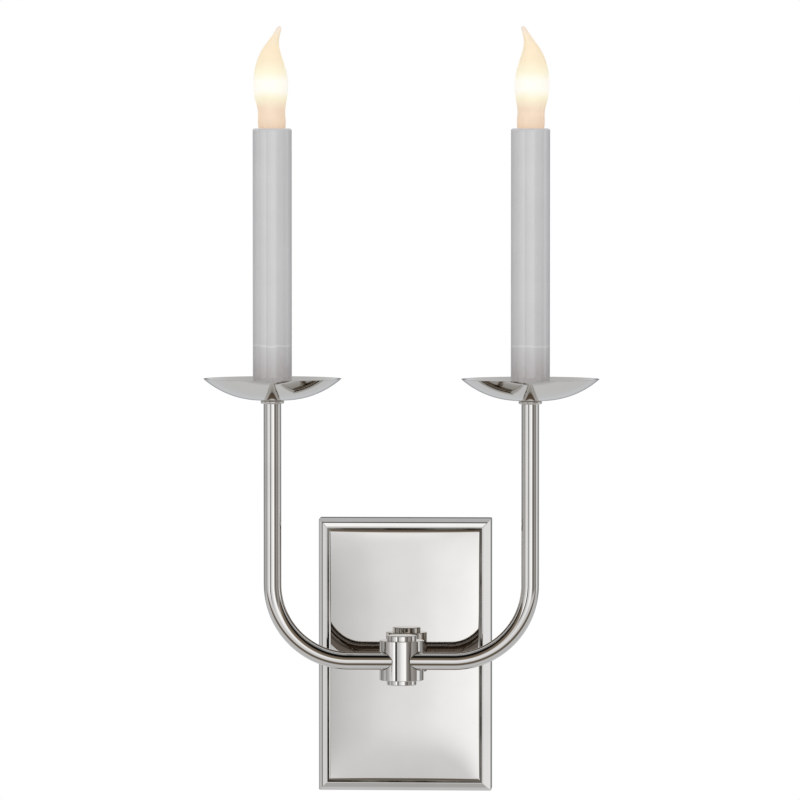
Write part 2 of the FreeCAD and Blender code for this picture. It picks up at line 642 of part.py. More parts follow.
for side_name, side in (("left", -1), ("right", 1)):
    export(side_name + "_arm", arm(side))
    on_candle_axis = {
        "collar": collar(),
        "dish": dish(),
        "nipple": socket_nipple(),
        "nipple_nuts": nipple_nuts(),
        "socket_bracket": socket_bracket(),
        "socket_screw": socket_screw(),
        "socket_body": socket_body(),
        "screw_shell": screw_shell(),
        "centre_contact": centre_contact(),
        "candle_cover": candle_cover(),
        "bulb_base": bulb_base(),
        "bulb_insulator": bulb_insulator(),
        "bulb_tip_contact": bulb_tip_contact(),
        "bulb_glass": bulb_glass(side),
        "bulb_stem": bulb_stem(),
        "bulb_leads": bulb_leads(),
        "bulb_filament": bulb_filament(),
    }
    for name, shape in on_candle_axis.items():
        shape.translate(Vector(side * CANDLE_FROM_MIDDLE, arm_y, 0))
        export(side_name + "_" + name, shape)
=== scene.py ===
"""Double arm wall sconce: its looks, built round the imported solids. All lengths are metres."""
import math

import bmesh
import bpy
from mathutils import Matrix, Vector


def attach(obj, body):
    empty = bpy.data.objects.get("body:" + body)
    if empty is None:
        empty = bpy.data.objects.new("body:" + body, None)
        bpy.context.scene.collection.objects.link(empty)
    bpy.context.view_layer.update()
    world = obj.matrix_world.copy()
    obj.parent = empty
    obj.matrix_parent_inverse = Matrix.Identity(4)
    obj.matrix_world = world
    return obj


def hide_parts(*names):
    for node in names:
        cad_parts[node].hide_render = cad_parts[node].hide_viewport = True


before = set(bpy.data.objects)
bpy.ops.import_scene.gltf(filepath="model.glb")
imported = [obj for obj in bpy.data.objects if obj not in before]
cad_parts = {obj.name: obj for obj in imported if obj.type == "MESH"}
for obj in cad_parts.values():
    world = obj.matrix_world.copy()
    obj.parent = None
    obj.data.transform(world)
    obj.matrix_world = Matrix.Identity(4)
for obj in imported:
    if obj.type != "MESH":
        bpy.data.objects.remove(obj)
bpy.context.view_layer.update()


# ---------------------------------------------------------------------------------------------
# The studio. The light hangs in the air in front of a white ground, with a pale floor below it.
# The room that polished metal mirrors is in the world: pale walls, one narrow black flag to the
# left, a brownish side to the right, dim bands above and below. Soft lamps light what isn't polished.

PICTURE_EYE = (0.1905, -3.963, 0.325)
PICTURE_AIM = (-0.0008, -0.067, 0.1702)
PICTURE_LENS = 270.0
SENSOR = 36.0
FARTHEST_SEEN = 50
WHITE = (1, 1, 1, 1)
EVEN_LIGHT = 0.50
LAMP_SIZE = 1.2
# (name, place, height of the point it is turned to, power in watts)
LAMPS = [
    ("lamp_left", (-1.3, -2.2, 1.5), 0.15, 22),
    ("lamp_right", (1.5, -2.2, 1.0), 0.15, 16),
    ("lamp_back", (0.2, 2.2, 1.4), 0.10, 14),
]
FLOOR_HEIGHT = -0.50
FLOOR_RADIUS = 0.9
FLOOR_SIDES = 96
FLOOR_TONES = (0.84, 0.88)
FLOOR_CLOUDS = 6.0
FLOOR_ROUGHNESS = 0.8

# What the polished metal mirrors near eye level: (compass angle from the viewer, grey, warmth), with
# angles to the left below zero
ROOM_ROUND = [
    (-180, 0.10), (-150, 0.30), (-116, 0.16), (-113, 0.46), (-107.5, 0.46), (-105.5, 0.10, 0.2),
    (-101, 0.10, 0.2), (-99, 0.62), (-93, 0.62), (-90, 0.25), (-68, 0.40, 0.03), (-56, 0.66),
    (-48, 0.60), (-37, 1.0), (-32, 1.0), (-31, 0.0), (-23, 0.0), (-21.5, 0.46), (-7, 0.61),
    (1, 0.81), (10, 0.88), (16, 0.94), (23, 0.98), (28, 0.27, 0.04), (40, 0.16, 0.10),
    (49, 0.08, 0.1), (55, 0.30, 0.06), (86, 0.16, 0.08), (90, 0.72), (107, 0.72), (110, 0.30),
    (180, 0.12),
]
# and well above and below eye level: (pitch, grey, warmth), where 0 is towards the viewer and 90 is up
ROOM_PITCH = [
    (-180, 0.08), (-158, 0.44), (-110, 0.49), (-103, 0.36), (-97, 0.36), (-90, 0.50), (-75, 0.50),
    (-58, 0.38), (-50, 0.07, 0.3), (-30, 0.10, 0.3), (-24, 0.55), (0, 0.64), (12, 0.82),
    (16, 0.15, 0.24), (36, 0.12, 0.28), (48, 0.03, 0.2), (52, 0.0), (71, 0.0), (79, 0.10),
    (87, 0.12), (88, 0.90), (91, 0.90), (92, 0.06), (99, 0.06), (101, 0.42), (160, 0.50),
    (175, 0.20), (180, 0.03),
]
EYE_LEVEL_BAND = (0.10, 0.22)
MIRRORED_TINT = (0.955, 0.995, 1.05)
MIRRORED_STRENGTH = 1.68

scene = bpy.context.scene
scene.view_settings.view_transform = "Standard"


def turn_to(thing, point):
    """Turns a camera or a lamp to a point."""
    thing.rotation_euler = (Vector(point) - thing.location).to_track_quat("-Z", "Y").to_euler()


eye = bpy.data.cameras.new("picture_camera")
eye.lens = PICTURE_LENS
eye.sensor_width = SENSOR
eye.clip_end = FARTHEST_SEEN
camera = bpy.data.objects.new("picture_camera", eye)
camera.location = PICTURE_EYE
turn_to(camera, PICTURE_AIM)
scene.collection.objects.link(camera)
scene.camera = camera


def feed(tree, made, inputs):
    """Sets a node's inputs: each is a value, or another node's socket."""
    for key, value in inputs.items():
        if isinstance(value, bpy.types.NodeSocket):
            tree.links.new(value, made.inputs[key])
        else:
            made.inputs[key].default_value = value


def node(tree, kind, inputs=None, **settings):
    """Adds a shader node with its own settings, and feeds its inputs."""
    made = tree.nodes.new(kind)
    for key, value in settings.items():
        setattr(made, key, value)
    feed(tree, made, inputs or {})
    return made


def calc(tree, operation, *values):
    """The result of a maths node."""
    return node(tree, "ShaderNodeMath", dict(enumerate(values)), operation=operation).outputs[0]


def spread(tree, value, low, high, to_low=0.0, to_high=1.0, **settings):
    """A value that is moved from one range to another, and held inside it."""
    ends = {"Value": value, "From Min": low, "From Max": high, "To Min": to_low, "To Max": to_high}
    return node(tree, "ShaderNodeMapRange", ends, **settings).outputs[0]


def blend(tree, share, first, second, **settings):
    """The mix of two colours."""
    colours = {0: share, 6: first, 7: second}
    return node(tree, "ShaderNodeMix", colours, data_type="RGBA", **settings).outputs[2]


def noise(tree, place, scale, detail=2.0):
    """A cloudy pattern, from 0 to 1."""
    return node(tree, "ShaderNodeTexNoise", {"Vector": place, "Scale": scale, "Detail": detail}).outputs[0]


def along(tree, place):
    """A place's X, Y and Z."""
    return node(tree, "ShaderNodeSeparateXYZ", {0: place}).outputs


def ramp(tree, factor, stops):
    """A colour ramp from (place, colour) stops."""
    made = node(tree, "ShaderNodeValToRGB", {0: factor})
    elements = made.color_ramp.elements
    while len(elements) < len(stops):
        elements.new(0.5)
    for element, (place, colour) in zip(elements, stops):
        element.position = place
        element.color = (*colour, 1)
    return made.outputs[0]


def drift(tree, cloud, tones, ends=(0.3, 0.7)):
    """A colour that drifts between two tones with a cloudy pattern, in the part of it between the ends."""
    return ramp(tree, cloud, list(zip(ends, tones)))


def grey(level, warmth=0.0):
    """A grey of that level, a little red and short of blue where it is warm."""
    return (level * (1 + warmth), level, level * (1 - warmth))


world = bpy.data.worlds.new("studio_world")
scene.world = world
world.use_nodes = True
tree = world.node_tree
tree.nodes.clear()
direction = along(tree, node(tree, "ShaderNodeTexCoord").outputs["Generated"])
towards_viewer = calc(tree, "MULTIPLY", direction["Y"], -1.0)


def room_by_angle(side_on, stops):
    """The room's tone by the angle between the viewer and one other direction, from stops in degrees."""
    turn = spread(tree, calc(tree, "ARCTAN2", side_on, towards_viewer), -math.pi, math.pi)
    return ramp(tree, turn, [((angle + 180) / 360, grey(*tone)) for angle, *tone in stops])


def light(colour, strength):
    """The world's light in one colour, or with the colours of the mirrored room."""
    return node(tree, "ShaderNodeBackground", {"Color": colour, "Strength": strength}).outputs[0]


off_level = spread(tree, calc(tree, "ABSOLUTE", direction["Z"]), *EYE_LEVEL_BAND,
                   interpolation_type="SMOOTHSTEP")
room = blend(tree, off_level, room_by_angle(direction["X"], ROOM_ROUND),
             room_by_angle(direction["Z"], ROOM_PITCH))
tinted = blend(tree, 1.0, room, (*MIRRORED_TINT, 1), blend_type="MULTIPLY")
ray = node(tree, "ShaderNodeLightPath").outputs
seen_straight = calc(tree, "MAXIMUM", ray["Is Camera Ray"], ray["Is Transmission Ray"])
on_things = node(tree, "ShaderNodeMixShader", {0: ray["Is Glossy Ray"], 1: light(WHITE, EVEN_LIGHT),
                                               2: light(tinted, MIRRORED_STRENGTH)})
all_light = node(tree, "ShaderNodeMixShader", {0: seen_straight, 1: on_things.outputs[0],
                                               2: light(WHITE, 1.0)})
node(tree, "ShaderNodeOutputWorld", {0: all_light.outputs[0]})

# Polished metal doesn't mirror the soft lamps, because the world has their image.
for name, place, aim_height, power in LAMPS:
    lamp = bpy.data.lights.new(name, "AREA")
    lamp.size = LAMP_SIZE
    lamp.energy = power
    holder = bpy.data.objects.new(name, lamp)
    holder.location = place
    turn_to(holder, (0, 0, aim_height))
    holder.visible_glossy = False
    scene.collection.objects.link(holder)


def choose(*pieces):
    """Selects only these pieces, and makes the first one active."""
    bpy.ops.object.select_all(action="DESELECT")
    for piece in pieces:
        piece.select_set(True)
    if pieces:
        bpy.context.view_layer.objects.active = pieces[0]


def new_finish(name):
    """A new material: its node tree, its one shader, and the place on the object."""
    made = bpy.data.materials.new(name)
    made.use_nodes = True
    tree = made.node_tree
    return made, tree, tree.nodes["Principled BSDF"], node(tree, "ShaderNodeTexCoord").outputs["Object"]


choose()
bpy.ops.mesh.primitive_circle_add(vertices=FLOOR_SIDES, radius=FLOOR_RADIUS, fill_type="NGON",
                                  location=(0, 0, FLOOR_HEIGHT))
floor = bpy.context.active_object
floor.name = "studio_floor"
bpy.ops.object.transform_apply(location=True)
pale_floor, tree, shader, place = new_finish("pale_floor")
floor_tone = drift(tree, noise(tree, place, FLOOR_CLOUDS), [grey(level) for level in FLOOR_TONES])
feed(tree, shader, {"Base Color": floor_tone, "Roughness": FLOOR_ROUGHNESS})
floor.data.materials.append(pale_floor)
floor.visible_glossy = False


# ---------------------------------------------------------------------------------------------
# The backplate is one pressed pan of brass, nickelled and polished: straight sides, a moulding of
# two slopes with mitred corners, a narrow land, a sunk groove, and a panel crowned like a cushion.
# Two headless screws in its top and bottom walls hold it to the strap behind it.

PLATE = Vector((0.114, 0.016, 0.180))
PLATE_SHEET = 0.0015
PLATE_CORNER_ROUND = 0.0009
HOLLOW_CORNER_ROUND = 0.0003
MOULDING = Vector((0.0054, 0.0064))
RIDGE_LIFT = 0.00025
RIDGE_ROUND = 0.0007
LAND = 0.0006
GROOVE = Vector((0.0012, 0.0014))
PANEL_STEP = 0.0004
PANEL_CROWN = 0.0025
CROWN_ACROSS = 3
CROWN_UP = 5
PANEL_CUTS = 120
FINE_EDGE = 0.00016
STEM_HOLE = 0.00515
STEM_HOLE_Y = -0.024
SET_SCREW_HOLE = 0.0023
SET_SCREW_FROM_WALL = 0.008
HOLE_DRILL_LENGTH = 0.02
DRILL_SIDES = 48
STRAIGHT_ON = 0.99
TOUCHING = 1e-6
NICKEL_TONES = ((0.610, 0.578, 0.537), (0.640, 0.607, 0.564))
NICKEL_ROUGHNESS = (0.02, 0.05)
BUFFING_LINES = (900, 900, 40)
RELIEF_DEPTH = 0.00002
# Tones of the painted shade in the groove
GROOVE_SHADE_TONES = ((0.030, 0.024, 0.018), (0.20, 0.18, 0.155))
GROOVE_SHADE_ENDS = (0.42, 0.70)
# Where painted shade lies in the groove: (share of the way across the groove, how much)
GROOVE_SHADE_ACROSS = [(0.02, 0), (0.08, 1), (0.90, 1), (0.98, 0)]


def start_edit(piece):
    """Goes into edit mode on one piece."""
    choose(piece)
    bpy.ops.object.mode_set(mode="EDIT")


def end_edit():
    """Comes back to object mode."""
    bpy.ops.object.mode_set(mode="OBJECT")


def pick(piece, kind, test):
    """Selects, in edit mode, only the faces, edges or verts that pass the test."""
    bpy.ops.mesh.select_mode(type={"faces": "FACE", "edges": "EDGE", "verts": "VERT"}[kind])
    bpy.ops.mesh.select_all(action="DESELECT")
    mesh = bmesh.from_edit_mesh(piece.data)
    for item in getattr(mesh, kind):
        if test(item):
            item.select_set(True)
    bmesh.update_edit_mesh(piece.data)


def middle_of(edge):
    """The point half way along an edge."""
    return (edge.verts[0].co + edge.verts[1].co) / 2


def apply_modifier(piece, kind, **settings):
    """Adds a modifier, sets it and applies it."""
    choose(piece)
    modifier = piece.modifiers.new(kind.lower(), kind)
    for key, value in settings.items():
        setattr(modifier, key, value)
    bpy.ops.object.modifier_apply(modifier=modifier.name)


def round_edges(piece, width, segments, least_turn, **settings):
    """Rounds each edge that turns by more than so many degrees."""
    apply_modifier(piece, "BEVEL", width=width, segments=segments, limit_method="ANGLE",
                   angle_limit=math.radians(least_turn), **settings)


def smooth(piece, degrees=32):
    """Shades a piece smooth, apart from its sharp edges."""
    choose(piece)
    bpy.ops.object.shade_smooth_by_angle(angle=math.radians(degrees))


def keep_flats(piece):
    """Leaves flat faces flat in the light, so that only the rounds between them turn it."""
    apply_modifier(piece, "WEIGHTED_NORMAL", keep_sharp=True, weight=100)


def draw_on(depth):
    """Extrudes the selected faces along y."""
    bpy.ops.mesh.extrude_region_move(TRANSFORM_OT_translate={"value": (0, depth, 0)})


def square_off(y, size, new_size):
    """Draws the selected face in, from one (width, height) to another in its own plane."""
    shares = (new_size[0] / size[0], 1, new_size[1] / size[1])
    bpy.ops.transform.resize(value=shares, center_override=(0, y, 0))


def crown(piece, width, height, rim):
    """Cuts the selected panel into a fine net, and lifts the net into its cushion."""
    bpy.ops.mesh.subdivide(number_cuts=PANEL_CUTS)
    mesh = bmesh.from_edit_mesh(piece.data)
    for vert in mesh.verts:
        if vert.select and abs(vert.co.y - rim) < TOUCHING:
            across = min(abs(vert.co.x) / (width / 2), 1)
            up = min(abs(vert.co.z) / (height / 2), 1)
            vert.co.y = rim - PANEL_CROWN * (1 - across ** CROWN_ACROSS) * (1 - up ** CROWN_UP)
    bmesh.update_edit_mesh(piece.data)


def pan_skin(name, inset, shoulder, front, groove):
    """One skin of the pan: sides, then the bevel, then what lies inside it. It is open at the wall."""
    width, height = PLATE.x - 2 * inset, PLATE.z - 2 * inset
    bevel = MOULDING.x * (front - shoulder) / MOULDING.y
    outer, land = (width, height), (width - 2 * bevel, height - 2 * bevel)
    choose()
    bpy.ops.mesh.primitive_cube_add(size=1, location=(0, -shoulder / 2, 0), scale=(width, shoulder, height))
    skin = bpy.context.active_object
    skin.name = name
    bpy.ops.object.transform_apply(location=True, scale=True)
    start_edit(skin)
    pick(skin, "faces", lambda f: f.normal.y < -STRAIGHT_ON)
    if groove:
        share = RIDGE_LIFT / math.hypot(*MOULDING)
        ridge_in, ridge_y = bevel / 2 - MOULDING.y * share, (shoulder + front) / 2 + MOULDING.x * share
        ridge = (width - 2 * ridge_in, height - 2 * ridge_in)
        draw_on(shoulder - ridge_y)
        square_off(-ridge_y, outer, ridge)
        draw_on(ridge_y - front)
        square_off(-front, ridge, land)
        pick(skin, "edges", lambda e: all(abs(v.co.y + ridge_y) < TOUCHING for v in e.verts))
        bpy.ops.mesh.bevel(offset=RIDGE_ROUND, segments=3, affect="EDGES")
    else:
        draw_on(shoulder - front)
        square_off(-front, outer, land)
    pick(skin, "edges", lambda e: -shoulder - TOUCHING < middle_of(e).y < -TOUCHING)
    bpy.ops.mesh.bevel(offset=PLATE_CORNER_ROUND if groove else HOLLOW_CORNER_ROUND, segments=4,
                       affect="EDGES")
    pick(skin, "faces", lambda f: f.normal.y > STRAIGHT_ON)
    bpy.ops.mesh.delete(type="FACE")
    pick(skin, "faces", lambda f: f.normal.y < -STRAIGHT_ON)
    if groove:
        bpy.ops.mesh.inset(thickness=LAND)
        draw_on(GROOVE.y)
        bpy.ops.mesh.inset(thickness=GROOVE.x)
        draw_on(PANEL_STEP - GROOVE.y)
        end_edit()
        round_edges(skin, FINE_EDGE, segments=2, least_turn=35)
        start_edit(skin)
        border = bevel + LAND + GROOVE.x
        rim = -front + PANEL_STEP
    else:
        border = MOULDING.x + LAND + GROOVE.x + PLATE_SHEET - inset
        bpy.ops.mesh.inset(thickness=border - bevel)
        rim = -(PLATE.y + MOULDING.y) + PANEL_STEP + PLATE_SHEET
        draw_on(rim + front)
    pick(skin, "faces", lambda f: f.normal.y < -STRAIGHT_ON
         and abs(f.calc_center_median().y - rim) < TOUCHING)
    crown(skin, width - 2 * border, height - 2 * border, rim)
    if not groove:
        bpy.ops.mesh.select_all(action="SELECT")
        bpy.ops.mesh.flip_normals()
    end_edit()
    return skin


def drill(piece, length, *holes):
    """Bores round holes: each is (middle, axis, radius)."""
    for middle, axis, radius in holes:
        choose()
        turned_to = Vector(axis).to_track_quat("Z", "Y").to_euler()
        bpy.ops.mesh.primitive_cylinder_add(vertices=DRILL_SIDES, radius=radius, depth=length,
                                            location=middle, rotation=turned_to)
        tool = bpy.context.active_object
        apply_modifier(piece, "BOOLEAN", object=tool, operation="DIFFERENCE", solver="EXACT")
        bpy.data.objects.remove(tool)


land_front = PLATE.y + MOULDING.y
hollow_front = land_front - GROOVE.y - PLATE_SHEET
bevel_length = math.hypot(*MOULDING)
hollow_shoulder = PLATE.y - PLATE_SHEET * (bevel_length - MOULDING.y) / MOULDING.x
backplate = pan_skin("backplate_pan", 0, PLATE.y, land_front, True)
hollow = pan_skin("backplate_hollow", PLATE_SHEET, hollow_shoulder, hollow_front, False)
choose(backplate, hollow)
bpy.ops.object.join()
start_edit(backplate)
pick(backplate, "edges", lambda e: e.is_boundary)
bpy.ops.mesh.bridge_edge_loops()
end_edit()
drill(backplate, HOLE_DRILL_LENGTH, ((0, STEM_HOLE_Y, 0), (0, 1, 0), STEM_HOLE),
      ((0, -SET_SCREW_FROM_WALL, PLATE.z / 2), (0, 0, 1), SET_SCREW_HOLE),
      ((0, -SET_SCREW_FROM_WALL, -PLATE.z / 2), (0, 0, 1), SET_SCREW_HOLE))
smooth(backplate)
keep_flats(backplate)


def relief(tree, height, strength):
    """A very shallow relief in the surface."""
    bump = {"Height": height, "Strength": strength, "Distance": RELIEF_DEPTH}
    return node(tree, "ShaderNodeBump", bump).outputs[0]


def nickel(name):
    """Bright nickel over polished brass: a faint cloud of tone, fine buffing lines, a soft waviness."""
    made, tree, shader, place = new_finish(name)
    tone = drift(tree, noise(tree, place, scale=35.0, detail=3.0), NICKEL_TONES)
    lines = node(tree, "ShaderNodeMapping", {"Vector": place, "Scale": BUFFING_LINES}).outputs[0]
    feed(tree, shader, {
        "Base Color": tone,
        "Metallic": 1.0,
        "Roughness": spread(tree, noise(tree, lines, scale=1.0), 0, 1, *NICKEL_ROUGHNESS),
        "Normal": relief(tree, noise(tree, place, scale=60.0, detail=1.0), strength=0.1),
    })
    return made, tree, shader, place, tone


polished_nickel = nickel("polished_nickel")[0]

# The plate has the same nickel, with painted shade that makes its groove dark.
plate_nickel_groove_shade, tree, shader, place, tone = nickel("plate_nickel_groove_shade")
border = MOULDING.x + LAND + GROOVE.x
beyond = [calc(tree, "SUBTRACT", calc(tree, "ABSOLUTE", along(tree, place)[axis]), size / 2 - border)
          for axis, size in (("X", PLATE.x), ("Z", PLATE.z))]
across_groove = calc(tree, "MULTIPLY", calc(tree, "MAXIMUM", *beyond), 1 / GROOVE.x)
groove_shade_mask = ramp(tree, across_groove, [(share, grey(amount)) for share, amount in GROOVE_SHADE_ACROSS])
groove_shade = drift(tree, noise(tree, place, scale=30.0, detail=3.0), GROOVE_SHADE_TONES, GROOVE_SHADE_ENDS)
feed(tree, shader, {"Base Color": blend(tree, groove_shade_mask, tone, groove_shade)})


def dress(piece, finish, body, slot, *nodes):
    """Gives a new piece its finish and its body, and hides the solids that it stands for. Its slot is not
    used.
    """
    piece.data.materials.clear()
    piece.data.materials.append(finish)
    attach(piece, body)
    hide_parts(*nodes)


dress(backplate, plate_nickel_groove_shade, "wall_light", "polished_nickel", "backplate")


# ---------------------------------------------------------------------------------------------
# Behind the plate: a pressed steel strap with turned ears, its two headless screws, the green
# earth screw, and the nipple, washer and nut that clamp the stem. They are plain zinced hardware,
# cut and rolled by machine, so the solids have their form and only their finish is made here.

PLAIN_ENDS = (0.35, 0.65)
GLOSS_DRIFT = (0.8, 1.2)


def plain_finish(name, low, high, roughness, metallic=0.0, grain=400.0, stretch=(1, 1, 1), more=None):
    """A finish that drifts between two tones, with a fine grain in its gloss and its surface."""
    made, tree, shader, place = new_finish(name)
    laid = node(tree, "ShaderNodeMapping", {"Vector": place, "Scale": stretch}).outputs[0]
    fine = noise(tree, laid, grain)
    feed(tree, shader, {
        "Base Color": drift(tree, noise(tree, laid, scale=grain / 5, detail=4.0), (low, high), PLAIN_ENDS),
        "Metallic": metallic,
        "Roughness": spread(tree, fine, 0, 1, *(roughness * share for share in GLOSS_DRIFT)),
        "Normal": relief(tree, fine, strength=0.4),
        **(more or {}),
    })
    return made


def repaint(finish, *nodes):
    """Gives solids that keep their own form a better finish."""
    for name in nodes:
        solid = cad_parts[name]
        solid.data.materials.clear()
        solid.data.materials.append(finish)


zinc_steel = plain_finish("zinc_steel", (0.55, 0.56, 0.58), (0.68, 0.69, 0.70), 0.32, metallic=1.0,
                          stretch=(1, 1, 0.2))
ground_green = plain_finish("ground_green", (0.05, 0.22, 0.09), (0.08, 0.30, 0.13), 0.30, metallic=0.6)
repaint(zinc_steel, "mounting_bracket", "backplate_set_screws", "stem_nipple", "stem_washer",
        "stem_locknut")
repaint(ground_green, "ground_screw")


# ---------------------------------------------------------------------------------------------
# The hub is a small barrel turned from brass bar, cross-bored for the arms with rounded lips, with
# a thinner disc screwed in at each end. A turned stem with a round foot holds it off the plate.
# All four are nickelled and polished.

HUB_FROM_WALL = 0.060
HUB_RADIUS = 0.0145
HUB_HALF = 0.013
HUB_EDGE = 0.0004
HUB_DRILL_LENGTH = 0.04
CAP_RADIUS = 0.0097
CAP_HEIGHT = 0.0032
CAP_EDGE = 0.0005
ARM_Y = -0.0674
ARM_BORE = 0.0059
BORE_LIP = 0.0005
TURNED_SIDES = 96
WELDED = 1e-7


def arc(middle, radius, start, end, steps=6):
    """Stations along a round: (radius, height) from a start angle to an end angle, in degrees."""
    found = []
    for i in range(steps + 1):
        angle = math.radians(start + (end - start) * i / steps)
        found.append((middle[0] + radius * math.cos(angle), middle[1] + radius * math.sin(angle)))
    return found


def weld():
    """Joins points that coincide, in edit mode, and turns all faces outwards."""
    bpy.ops.mesh.select_all(action="SELECT")
    bpy.ops.mesh.remove_doubles(threshold=WELDED)
    bpy.ops.mesh.normals_make_consistent(inside=False)


def turned(name, stations, place=(0, 0), filled=True, sides=TURNED_SIDES):
    """A piece off the lathe: a ring drawn on from station to station, each (radius, height, x shift)."""
    stations = [(station + (0,))[:3] for station in stations]
    radius, height, shift = stations[0]
    choose()
    bpy.ops.mesh.primitive_circle_add(vertices=sides, radius=radius,
                                      location=(place[0] + shift, place[1], height),
                                      fill_type="NGON" if filled else "NOTHING")
    piece = bpy.context.active_object
    piece.name = name
    bpy.ops.object.transform_apply(location=True)
    start_edit(piece)
    bpy.ops.mesh.select_mode(type="EDGE")
    bpy.ops.mesh.select_all(action="SELECT")
    for next_radius, next_height, next_shift in stations[1:]:
        step = (next_shift - shift, 0, next_height - height)
        bpy.ops.mesh.extrude_edges_move(TRANSFORM_OT_translate={"value": step})
        share = next_radius / radius
        bpy.ops.transform.resize(value=(share, share, 1),
                                 center_override=(place[0] + next_shift, place[1], next_height))
        radius, height, shift = next_radius, next_height, next_shift
    if filled and radius > 0:
        bpy.ops.mesh.edge_face_add()
    weld()
    end_edit()
    smooth(piece)
    return piece


hub_place = (0, -HUB_FROM_WALL)
hub = turned("hub_barrel", arc((HUB_RADIUS - HUB_EDGE, HUB_EDGE - HUB_HALF), HUB_EDGE, -90, 0)
             + arc((HUB_RADIUS - HUB_EDGE, HUB_HALF - HUB_EDGE), HUB_EDGE, 0, 90), hub_place)
drill(hub, HUB_DRILL_LENGTH, ((0, ARM_Y, 0), (1, 0, 0), ARM_BORE))
round_edges(hub, BORE_LIP, segments=3, least_turn=40, use_clamp_overlap=False)
smooth(hub)
keep_flats(hub)
dress(hub, polished_nickel, "wall_light", "polished_nickel", "hub_body")

for cap_name, end in (("hub_top_cap", 1), ("hub_bottom_cap", -1)):
    rim_z = end * (HUB_HALF + CAP_HEIGHT - CAP_EDGE)
    cap = turned(cap_name + "_disc", [(CAP_RADIUS, end * HUB_HALF)]
                 + arc((CAP_RADIUS - CAP_EDGE, rim_z), CAP_EDGE, 0, end * 90), hub_place)
    keep_flats(cap)
    dress(cap, polished_nickel, "wall_light", "polished_nickel", cap_name)


def smooth_copy(name, solid):
    """A copy of a small solid, its triangles joined and its surface shaded smooth."""
    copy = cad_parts[solid].copy()
    copy.data = copy.data.copy()
    copy.name = name
    for key in list(copy.keys()):
        del copy[key]
    copy.parent = None
    scene.collection.objects.link(copy)
    start_edit(copy)
    bpy.ops.mesh.select_all(action="SELECT")
    bpy.ops.mesh.remove_doubles(threshold=TOUCHING)
    end_edit()
    smooth(copy, degrees=35)
    return copy


stem = smooth_copy("stem_spacer_turned", "stem_spacer")
dress(stem, polished_nickel, "wall_light", "polished_nickel", "stem_spacer")


# ---------------------------------------------------------------------------------------------
# Each arm is one brass tube, bent through a quarter circle and polished: a short level run out of
# the hub, the bend, and a long upright that ends under the dish. The right one is made, and the
# left one is its mirror image.

TUBE_RADIUS = 0.00575
TUBE_WALL = 0.0008
TUBE_SIDES = 64
ARM_START = 0.0035
BEND_START = 0.034
BEND_RADIUS = 0.050
BEND_STEPS = 48
ARM_TOP = 0.1676
CANDLE_X = 0.084
# Colour of the painted shade on the arms' side towards the wall
ARM_BACK_SHADE_TONE = (0.24, 0.20, 0.17, 1)
# Where the painted shade on the arms' back starts and is full, in tube radii: towards the wall, and up from
# the underside
SHADE_FROM_AXIS = (0.15, 0.6)
SHADE_FROM_BELOW = (-0.5, -0.2)


def mirrored_copy(piece, name):
    """The same piece for the other side, with its own mesh turned over in x."""
    copy = piece.copy()
    copy.data = piece.data.copy()
    copy.name = name
    scene.collection.objects.link(copy)
    choose(copy)
    copy.scale = (-1, 1, 1)
    bpy.ops.object.transform_apply(scale=True)
    start_edit(copy)
    bpy.ops.mesh.select_all(action="SELECT")
    bpy.ops.mesh.normals_make_consistent(inside=False)
    end_edit()
    return copy


def both_sides(piece, part, finish, slot, body="wall_light", solid=None):
    """Dresses a right-hand piece, and makes and dresses the left-hand one. body may hold a {side}."""
    solid = solid or part
    left = mirrored_copy(piece, "left_" + part + "_piece")
    piece.name = "right_" + part + "_piece"
    for side, made in (("left", left), ("right", piece)):
        dress(made, finish, body.format(side=side), slot, side + "_" + solid)


choose()
bpy.ops.mesh.primitive_circle_add(vertices=TUBE_SIDES, radius=TUBE_RADIUS, location=(ARM_START, ARM_Y, 0),
                                  rotation=(0, math.pi / 2, 0), fill_type="NGON")
arm = bpy.context.active_object
bpy.ops.object.transform_apply(location=True, rotation=True)
start_edit(arm)
bpy.ops.mesh.select_mode(type="EDGE")
bpy.ops.mesh.select_all(action="SELECT")
bpy.ops.mesh.extrude_edges_move(TRANSFORM_OT_translate={"value": (BEND_START - ARM_START, 0, 0)})
bpy.ops.mesh.spin(steps=BEND_STEPS, angle=math.pi / 2, center=(BEND_START, ARM_Y, BEND_RADIUS),
                  axis=(0, 1, 0))
bpy.ops.mesh.extrude_edges_move(TRANSFORM_OT_translate={"value": (0, 0, ARM_TOP - BEND_RADIUS)})
bpy.ops.mesh.edge_face_add()
weld()
# Of its faces only the two round ends have more than four corners. The wall is made of the others.
pick(arm, "faces", lambda f: len(f.verts) > 4)
bpy.ops.mesh.delete(type="FACE")
end_edit()
apply_modifier(arm, "SOLIDIFY", thickness=TUBE_WALL, offset=-1)
smooth(arm)

# The arms' side towards the wall, above the level run's underside, carries painted shade, so it
# is darker. The panel mirrors it.
arm_nickel_back_shade, tree, shader, place, tone = nickel("arm_nickel_back_shade")
at = along(tree, place)
shade_towards_wall = spread(tree, at["Y"], *(ARM_Y + share * TUBE_RADIUS for share in SHADE_FROM_AXIS))
shade_over_underside = spread(tree, at["Z"], *(share * TUBE_RADIUS for share in SHADE_FROM_BELOW))
feed(tree, shader, {"Base Color": blend(tree, calc(tree, "MULTIPLY", shade_towards_wall, shade_over_underside), tone, ARM_BACK_SHADE_TONE)})
both_sides(arm, "arm", arm_nickel_back_shade, "polished_nickel")


# ---------------------------------------------------------------------------------------------
# Under each dish is a turned bead, and the dish is spun from thin sheet: a flat seat, one round
# sweep up to the rim, and a rim that is only trimmed and polished. A threaded nipple with two nuts
# clamps bead and dish on the tube's end, and carries the strap and screw of the lamp holder.

